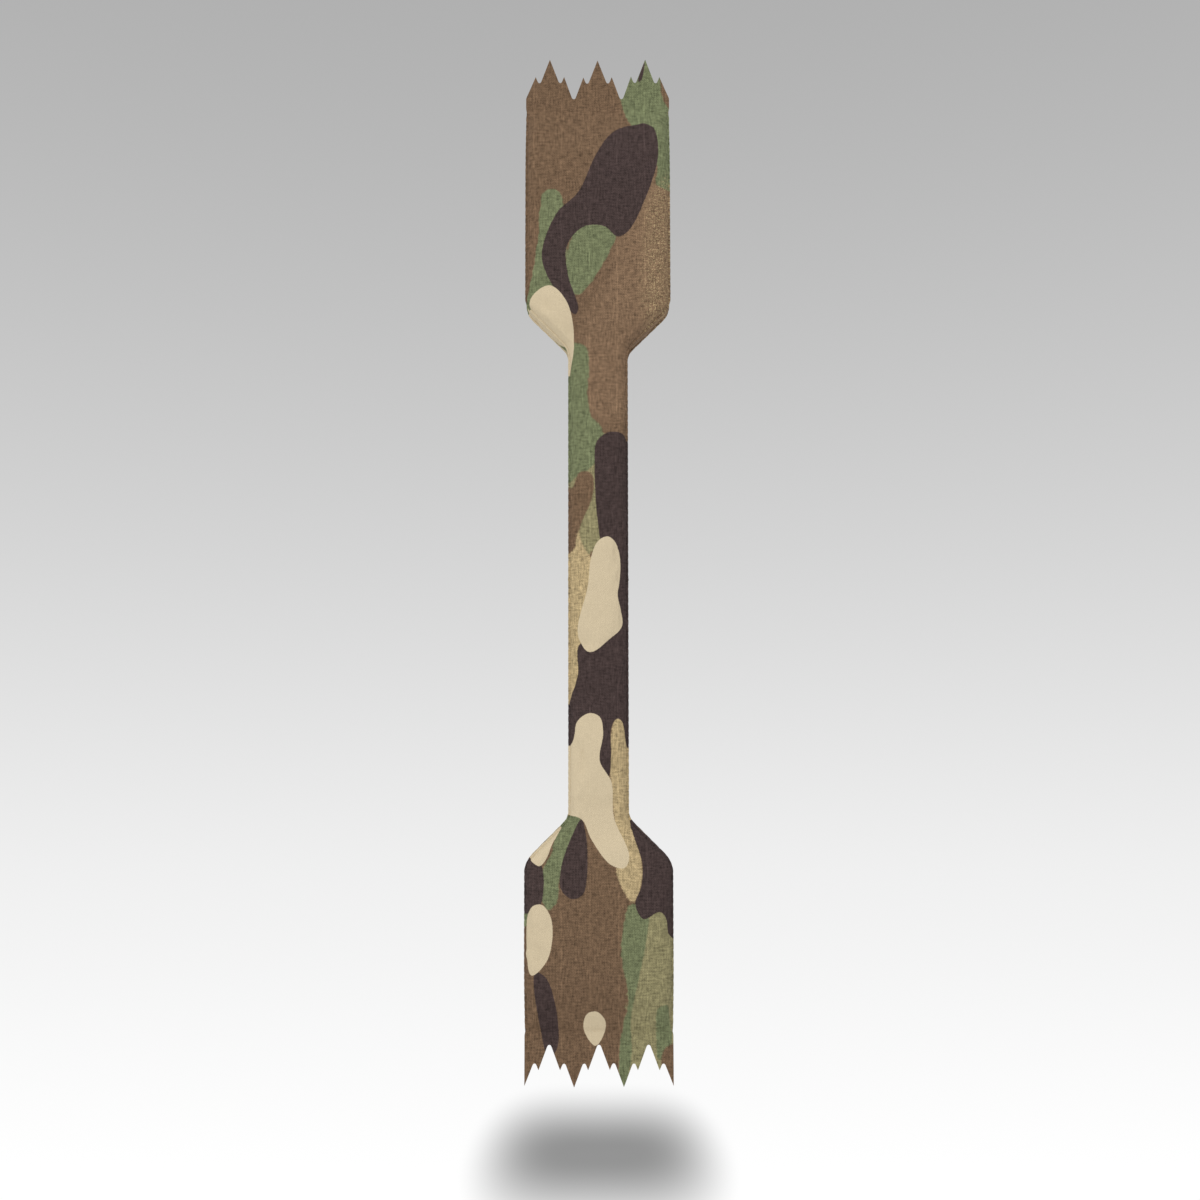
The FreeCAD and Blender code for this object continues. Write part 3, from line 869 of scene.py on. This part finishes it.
def welt_run(side_x, side_y, low, high):
    """Points of one raised seam: a round fold that each stitch pulls in a little."""
    heights = rows_between(low, high, WELT_STEP)[:, None]
    turn = np.linspace(0, 2 * math.pi, WELT_AROUND, endpoint=False)[None]
    from_stitch = np.abs((heights / WELT_STITCH_PITCH + 0.5) % 1 - 0.5) * WELT_STITCH_PITCH
    pinch = 1 - WELT_PINCH * np.exp(-((from_stitch / WELT_PINCH_REACH) ** 2))
    ends = smooth(0, 4, seam_distance(heights) - np.abs(heights))
    tall = (WELT_ROOT + (WELT_HEIGHT - WELT_ROOT) * (0.4 + 0.6 * ends)) * pinch
    out_x, out_z = outline_normal(heights)
    middle_y = side_y * np.maximum(gusset_half(heights), 0.35)
    out = tall * np.cos(turn)
    x = side_x * (half_width(heights) + out * out_x)
    y = middle_y + WELT_HALF_WIDTH * pinch * np.sin(turn)
    z = heights + out * out_z
    places = np.stack([x, y, z + 0 * x], -1)
    return places, heights + 0 * turn


def seam_welts(name, side_y, low, high, material):
    """Both raised seams of one face panel, over half the bumper."""
    places, faces, across, along = [], [], [], []
    for side_x in (-1, 1):
        run, heights = welt_run(side_x, side_y, low, high)
        start = sum(len(part) for part in places)
        faces += [[start + corner for corner in face] for face in tube_faces(*run.shape[:2])]
        places.append(run.reshape(-1, 3))
        u, v = face_print(side_y, side_x * (half_width(heights) + EDGE_GIRTH), heights)
        across.append(u.ravel())
        along.append(v.ravel())
    mesh = mesh_from(name, np.concatenate(places), faces)
    print_on(mesh, np.concatenate(across), np.concatenate(along))
    return new_piece(name, mesh, material)


# ---- fringes

FRINGE_ROWS = 26
COLUMN_STEP = 0.4
FRINGE_WAVE = 0.35
FRINGE_TURN = 0.19  # radians of that wave per millimetre across
TIP_SPLAY = 0.7  # how far a tooth of lean 1 stands out at its tip
TIP_LENGTH = 18.0
TOOTH_LEANS = np.array([0.9, 0.45, 1.1])
BACK_LEAN = 0.7
FLATTEN_FROM = 2.5  # before an end seam, where the padded shape starts to turn into flat plies
FLATTEN_TO = 1.5  # past the seam


def pointed(corners, index):
    """Moves a rounded corner out, so that its arc rather than its point reaches the corner's rise."""
    x, rise, radius = corners[index]
    if not radius:
        return corners[index]
    before_x, before_rise, _ = corners[index - 1]
    after_x, after_rise, _ = corners[index + 1]
    half_angle = math.atan((x - before_x) / abs(rise - before_rise)) / 2
    half_angle += math.atan((after_x - x) / abs(rise - after_rise)) / 2
    overshoot = radius / math.sin(half_angle) - radius
    return x, rise + math.copysign(overshoot, rise - before_rise), radius


def cut_corners(upper):
    """Corners of the zigzag from left to right, as (x, rise, radius), rounded where the cloth is inside."""
    low_round, high_round = (1, 0) if upper else (0, 1)
    corners = [(-PLY_HALF, OUTER_RISE, 0.0)]
    for tooth in range(TEETH):
        middle = (tooth - (TEETH - 1) / 2) * TOOTH_PITCH
        corners += [
            (middle - SIDE_PEAK[0], SIDE_PEAK[1], NOTCH_RADIUS * high_round),
            (middle - NOTCH[0], NOTCH[1], NOTCH_RADIUS * low_round),
            (middle, PEAK_RISE, VALLEY_RADIUS * high_round),
            (middle + NOTCH[0], NOTCH[1], NOTCH_RADIUS * low_round),
            (middle + SIDE_PEAK[0], SIDE_PEAK[1], NOTCH_RADIUS * high_round),
            (middle + TOOTH_PITCH / 2, 0.0, VALLEY_RADIUS * low_round),
        ]
    corners[-1] = (PLY_HALF, OUTER_RISE, 0.0)
    return np.array([pointed(corners, index) for index in range(len(corners))])


def cut_rise(x, corners):
    """Height of the cut line above its lowest points at x, with its round corners."""
    rise = np.interp(x, corners[:, 0], corners[:, 1])
    for before, corner, after in zip(corners[:-2], corners[1:-1], corners[2:]):
        radius = corner[2]
        if not radius:
            continue
        left = (corner[1] - before[1]) / (corner[0] - before[0])
        right = (after[1] - corner[1]) / (after[0] - corner[0])
        bend = math.copysign(1, right - left)
        # The arc's centre is one radius from both sides, on the side the line bends towards.
        reach_left = bend * radius * math.sqrt(1 + left**2)
        reach_right = bend * radius * math.sqrt(1 + right**2)
        centre_x = corner[0] + (reach_left - reach_right) / (right - left)
        centre_rise = corner[1] + left * (centre_x - corner[0]) + reach_left
        touch = [centre_x + bend * radius * slope / math.sqrt(1 + slope**2) for slope in (left, right)]
        on_arc = (x > min(touch)) & (x < max(touch))
        drop = np.sqrt(np.clip(radius**2 - (x - centre_x) ** 2, 0, None))
        rise = np.where(on_arc, centre_rise - bend * drop, rise)
    return rise


def fringe_columns(corners):
    """Places across the fringe: even, with one at each sharp corner of the cut."""
    sharp = corners[corners[:, 2] == 0, 0]
    even = np.arange(-PLY_HALF, PLY_HALF, COLUMN_STEP)
    far = np.abs(even[:, None] - sharp[None]).min(1) > COLUMN_STEP * 0.45
    return np.sort(np.concatenate([even[far], sharp]))


def fringe_surface(side, side_y, swell):
    """Outer and inner points of one ply, from inside the end seam to its zigzag edge."""
    corners = cut_corners(side > 0)
    x_cut = fringe_columns(corners)
    seam = float(seam_distance(np.array(side)))
    root = seam - FRINGE_ROOT
    edge = side * CUT_HEIGHT + cut_rise(x_cut, corners)
    share = x_cut / PLY_HALF
    step = np.linspace(0, 1, FRINGE_ROWS)[:, None] ** 1.15
    along = root + step * (edge * side - root)[None]
    height = side * along
    body = side * np.clip(along, None, seam)
    flat = smooth(seam - FLATTEN_FROM, seam + FLATTEN_TO, along)
    first = read_swell(swell["panel", side_y], share, np.array([side * root]))
    fade = (1 - smooth(root, seam - 0.5, along))[..., None]
    place, _, across = panel_surface(side_y, share[None] + 0 * step, body, first * fade)
    x = place[..., 0] * (1 - flat) + x_cut * flat
    beyond = np.clip(along - seam, 0, None)
    tooth = np.floor((x_cut + PLY_HALF) / TOOTH_PITCH - 1e-6).clip(0, TEETH - 1).astype(int)
    lean = TOOTH_LEANS[tooth] * (1 if side_y < 0 else BACK_LEAN)
    wave = FRINGE_WAVE * np.sin(x_cut * FRINGE_TURN + side + 2 * side_y)
    wave = wave + lean * TIP_SPLAY * beyond / TIP_LENGTH
    ply_outer = PLY_GAP + CLOTH
    y_flat = side_y * ply_outer + wave * side_y * smooth(0, 16, beyond)
    y = place[..., 1] * (1 - flat) + y_flat * flat
    outer = np.stack([x, y, height * flat + place[..., 2] * (1 - flat)], -1)
    depth = np.minimum(cloth_depth(body), np.abs(y) - PLY_GAP)
    inner = outer - np.stack([0 * x, side_y * depth, 0 * x], -1)
    return outer, inner, np.where(flat > 0.5, x, across), height


def fringe_ply(name, side, side_y, swell, material):
    outer, inner, across, height = fringe_surface(side, side_y, swell)
    mesh = shell_mesh(name, outer, inner)
    print_shell(mesh, *face_print(side_y, across, height))
    return new_piece(name, mesh, material, sharp=35)


# ---- stitches

STITCH_AROUND = 6
STITCH_RINGS = 7
STITCH_SEAM_INSET = 0.5  # the row that closes an end, from the end seam


def stitch_points(middle, run, out, length, radius, lift):
    """One stitch: a short thread that rises from the cloth and dives back into it."""
    share = np.linspace(0, 1, STITCH_RINGS)[:, None, None]
    turn = np.linspace(0, 2 * math.pi, STITCH_AROUND, endpoint=False)[None, :, None]
    across = np.cross(run, out)
    bow = np.sin(math.pi * share)
    size = radius * (0.55 + 0.45 * bow**0.5)
    centre = middle + run * (share - 0.5) * length + out * (lift * bow - 0.6 * radius)
    return (centre + size * (np.cos(turn) * across + np.sin(turn) * out)).reshape(-1, 3)


def stitches(name, rows, material, length, radius, lift):
    """Stitches at given (middle, run, out, print place), printed to match the cloth under them."""
    places, faces, prints = [], [], []
    each = tube_faces(STITCH_RINGS, STITCH_AROUND)
    for middle, run, out, print_place in rows:
        start = len(places) * STITCH_RINGS * STITCH_AROUND
        faces += [[start + corner for corner in face] for face in each]
        places.append(stitch_points(middle, run, out, length, radius, lift))
        prints += [print_place] * (STITCH_RINGS * STITCH_AROUND)
    mesh = mesh_from(name, np.concatenate(places), faces)
    print_on(mesh, *np.array(prints, float).T)
    return new_piece(name, mesh, material)


GUSSET_STITCH_PITCH = 3.2
GUSSET_STITCH_ROOM = 3.6  # a gusset with less than this on each side of its middle has no topstitching
END_STITCH_PITCH = 3.0
END_STITCH_MARGIN = 2.2


def gusset_stitch_rows(side_x, low, high, swell):
    """Places of the topstitching beside both seams of a gusset."""
    rows = []
    for side_y in (-1, 1):
        heights = np.arange(low + GUSSET_STITCH_PITCH / 2, high, GUSSET_STITCH_PITCH)
        heights = heights[gusset_half(heights) > GUSSET_STITCH_ROOM]
        for height in heights:
            level = np.array([height])
            share = side_y * (1 - STITCH_INSET / float(gusset_half(height)))
            surface, normal, across, _ = gusset_surface(side_x, np.array([share]), level, swell)
            above, _, _, _ = gusset_surface(side_x, np.array([share]), level + 1.0, swell)
            run = above[0, 0] - surface[0, 0]
            run /= np.linalg.norm(run)
            rows.append((surface[0, 0], run, normal[0, 0], gusset_print(side_x, across[0, 0], height)))
    return rows


def end_stitch_rows(side, swell):
    """Places of the row that closes an end, on both faces."""
    rows = []
    for side_y in (-1, 1):
        outer, _, _, height = fringe_surface(side, side_y, swell)
        seam = float(seam_distance(np.array(side))) - STITCH_SEAM_INSET
        for x in np.arange(END_STITCH_MARGIN - PLY_HALF, PLY_HALF - END_STITCH_MARGIN, END_STITCH_PITCH):
            column = int(np.abs(outer[0, :, 0] - x).argmin())
            row = int(np.abs(np.abs(height[:, column]) - seam).argmin())
            middle = outer[row, column].copy()
            middle[2] = side * seam
            run, out = np.array([1.0, 0, 0]), np.array([0, side_y * 1.0, 0])
            rows.append((middle, run, out, (middle[0], middle[2])))
    return rows


# ---- the spine

SPINE_AROUND = 20


def spine_rope(name, end):
    """Half of the rope that ties the paddles together, from mid grip to one anchor disc."""
    heights = np.append(np.arange(0.0, abs(end), GRID), abs(end))[:, None] * math.copysign(1, end)
    turn = np.linspace(0, 2 * math.pi, SPINE_AROUND, endpoint=False)[None]
    radius = spine_high[0]
    places = np.stack([radius * np.cos(turn) + 0 * heights, radius * np.sin(turn) + 0 * heights,
                       heights + 0 * turn], -1)
    mesh = mesh_from(name, places.reshape(-1, 3), tube_faces(*places.shape[:2]))
    return new_piece(name, mesh, rope_material(), sharp=50)


# ---- building the bumper

WELT_END = 0.5  # from an end seam
GUSSET_END = 1.0

swell = stuffing_swell()
camo = camo_cloth("camo_canvas")
binding = camo_cloth("seam_binding", tint=0.95)
thread = camo_cloth("sewing_thread", tint=1.06)


def bend_at_neck(piece):
    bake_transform(piece)


for half, side in (("upper", 1), ("lower", -1)):
    seam = UPPER_SEAM if side > 0 else LOWER_SEAM
    low, high = sorted((0.0, side * (seam - FRINGE_ROOT)))
    paddle = half + "_paddle"
    for face, side_y in (("front", -1), ("back", 1)):
        panel = face_panel(f"{face}_cover_{half}", side_y, low, high, swell, camo)
        bend_at_neck(panel)
        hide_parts(face + "_cover_panel")
        low_welt, high_welt = sorted((0.0, side * (seam - WELT_END)))
        welts = seam_welts(f"{face}_welts_{half}", side_y, low_welt, high_welt, binding)
        bend_at_neck(welts)
        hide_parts(face + "_seam_welt")
        ply = fringe_ply(f"{half}_fringe_{face}", side, side_y, swell, camo)
        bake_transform(ply)
        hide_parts(f"{half}_fringe_{face}_ply")
    for edge, side_x in (("left", -1), ("right", 1)):
        strip_low, strip_high = sorted((0.0, side * (seam - GUSSET_END)))
        strip = gusset(f"{edge}_gusset_{half}", side_x, strip_low, strip_high, swell, camo)
        bend_at_neck(strip)
        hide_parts(edge + "_gusset")
        rows = gusset_stitch_rows(side_x, strip_low, strip_high, swell)
        seams = stitches(f"{edge}_topstitch_{half}", rows, thread, length=2.5, radius=0.24, lift=0.3)
        bend_at_neck(seams)
    rope = spine_rope("spine_rope_" + half, spine_high[2] if side > 0 else spine_low[2])
    bend_at_neck(rope)
    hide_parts("spine_cord")
    rows = end_stitch_rows(side, swell)
    closing = stitches(f"{half}_end_stitches", rows, thread, length=2.3, radius=0.14, lift=0.1)
    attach(closing, paddle)
    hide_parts(half + "_end_stitching")

inner_materials = {
    "float": foam_material(),
    "sleeve": foam_material(),
    "wadding": wadding_material(),
    "disc": plastic_material(),
    "weight": steel_material(),
}
for name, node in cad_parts.items():
    for word, material in inner_materials.items():
        if word in name:
            node.data.materials.clear()
            node.data.materials.append(material)


# ---- floor, light and camera

FLOOR_GAP = 26.0  # the bumper hangs this far above the floor
CAMERA_DISTANCE = 750.0
CAMERA_ELEVATION = math.radians(-4.4)
CAMERA_LENS = 51.8
CAMERA_ROLL = math.radians(-0.09)  # the photo leans by a hair
AIM = Vector((0.73, 0.0, -7.5))  # what the middle of the picture shows
BOWL_FLAT = 1300.0
BOWL_RADIUS = 500.0
BOWL_HEIGHT = 1500.0
BOWL_AROUND = 96
BOWL_STEPS = 13
PAPER_GREY = 0.04
GLOW_AT_FOOT = 0.848  # of the wall, 200 mm below the middle of the grip
GLOW_FALL = -0.443  # per metre up the wall
GLOW_CURVE = 0.155
GLOW_LEVEL = 0.31  # metres, where the fall is back on its straight line
FRONT_GLOW = 0.148  # extra share of glow on the floor below the bumper
FRONT_FADE = -1.74  # per metre away from the camera
FRONT_LIMIT = -0.12
SHADE_WIDTH = 0.041  # metres from the middle of the shade under the bumper to where about half is gone
SHADE_DEPTH = 0.075
SHADE_FADE = (0.13, 2.05)  # where the fade starts and ends, with 1 at that width or depth
SHADE_OFFSET = 0.008
SHADE_DARKNESS = 0.7


def backdrop_material():
    """Pale seamless paper, brightest on the floor in front and greyer with height.

    It glows rather than relying on lamps, which keeps the light on the bumper separate from it. A soft
    dark patch stands in for the shade under the bumper.
    """
    graph = Graph("backdrop_paper")
    place = graph.object_place()
    x, y, z = graph.parts(place)
    rise = graph.math("ADD", z, 0.2)
    steep = graph.math("MULTIPLY_ADD", rise, GLOW_FALL, GLOW_AT_FOOT)
    from_level = graph.math("MULTIPLY", rise, graph.math("SUBTRACT", z, GLOW_LEVEL))
    curve = graph.math("MULTIPLY", from_level, GLOW_CURVE)
    towards_back = graph.math("MAXIMUM", y, FRONT_LIMIT)
    front_glow = graph.math("EXPONENT", graph.math("MULTIPLY", towards_back, FRONT_FADE))
    pool = graph.math("MULTIPLY_ADD", front_glow, FRONT_GLOW, 1.0)
    glow = graph.math("MULTIPLY", graph.math("ADD", steep, curve), pool)
    wide = graph.math("POWER", graph.math("DIVIDE", x, SHADE_WIDTH), 4)
    deep = graph.math("POWER", graph.math("DIVIDE", graph.math("ADD", y, SHADE_OFFSET), SHADE_DEPTH), 2)
    from_shade = graph.math("SQRT", graph.math("ADD", wide, deep))
    shade = graph.ramp(from_shade, *SHADE_FADE, 1 - SHADE_DARKNESS, 1.0)
    grain = graph.ramp(graph.noise(place, 900, 2.0), 0, 1, 0.996, 1.004)
    level = graph.math("MULTIPLY", graph.math("MULTIPLY", glow, shade), grain)
    grey = graph.tree.nodes.new("ShaderNodeCombineXYZ")
    for socket in grey.inputs:
        graph.put(socket, graph.math("SUBTRACT", level, PAPER_GREY))
    graph.put(graph.shader.inputs["Emission Color"], grey.outputs[0])
    return graph.finish((PAPER_GREY,) * 3 + (1,), 1.0, Specular_IOR_Level=0.0, Emission_Strength=1.0)


def backdrop():
    """A round sweep: a flat floor that curves up into a wall on every side."""
    floor = cad_low[2] / MM - FLOOR_GAP
    turn = np.linspace(0, math.pi / 2, BOWL_STEPS)
    curve = BOWL_FLAT + BOWL_RADIUS * np.sin(turn)
    radii = np.concatenate([[0.1, 400, 900], curve, [BOWL_FLAT + BOWL_RADIUS]])
    rises = np.concatenate([[0, 0, 0], BOWL_RADIUS * (1 - np.cos(turn)), [BOWL_HEIGHT]]) + floor
    round_turn = np.linspace(0, 2 * math.pi, BOWL_AROUND, endpoint=False)
    rings = np.stack([radii[:, None] * np.cos(round_turn), radii[:, None] * np.sin(round_turn),
                      rises[:, None] + 0 * round_turn], -1)
    faces = tube_faces(*rings.shape[:2], closed_ends=False)
    faces.append(list(range(len(round_turn)))[::-1])
    mesh = bpy.data.meshes.new("backdrop")
    mesh.from_pydata((rings.reshape(-1, 3) * MM).tolist(), [], faces)
    mesh.shade_smooth()
    mesh.materials.append(backdrop_material())
    sweep = bpy.data.objects.new("backdrop", mesh)
    bpy.context.scene.collection.objects.link(sweep)
    sweep.visible_shadow = False
    sweep.visible_diffuse = False


def area_light(name, place, size, power):
    """A square lamp that points at the middle of the grip."""
    lamp = bpy.data.lights.new(name, "AREA")
    lamp.size = size
    lamp.energy = power
    light = bpy.data.objects.new(name, lamp)
    light.location = place
    light.rotation_euler = (-Vector(place)).to_track_quat("-Z", "Y").to_euler()
    bpy.context.scene.collection.objects.link(light)


def lighting():
    world = bpy.data.worlds.new("studio")
    bpy.context.scene.world = world
    world.use_nodes = True
    sky = world.node_tree.nodes["Background"]
    sky.inputs["Color"].default_value = (1, 1, 1, 1)
    sky.inputs["Strength"].default_value = 0.75
    area_light("overhead", (0, -0.2, 1.3), size=0.5, power=2.9)
    area_light("front", (-0.5, -1.4, 0.35), size=1.4, power=8.8)


def camera():
    lens = bpy.data.cameras.new("camera")
    lens.lens = CAMERA_LENS
    lens.clip_start = 0.01
    eye = bpy.data.objects.new("camera", lens)
    back = Vector((0, -math.cos(CAMERA_ELEVATION), math.sin(CAMERA_ELEVATION)))
    eye.location = (AIM + back * CAMERA_DISTANCE) * MM
    level = (-back).to_track_quat("-Z", "Y")
    eye.rotation_euler = (level @ Quaternion((0, 0, 1), CAMERA_ROLL)).to_euler()
    bpy.context.scene.collection.objects.link(eye)
    bpy.context.scene.camera = eye


backdrop()
lighting()
camera()
bpy.context.scene.view_settings.view_transform = "Standard"
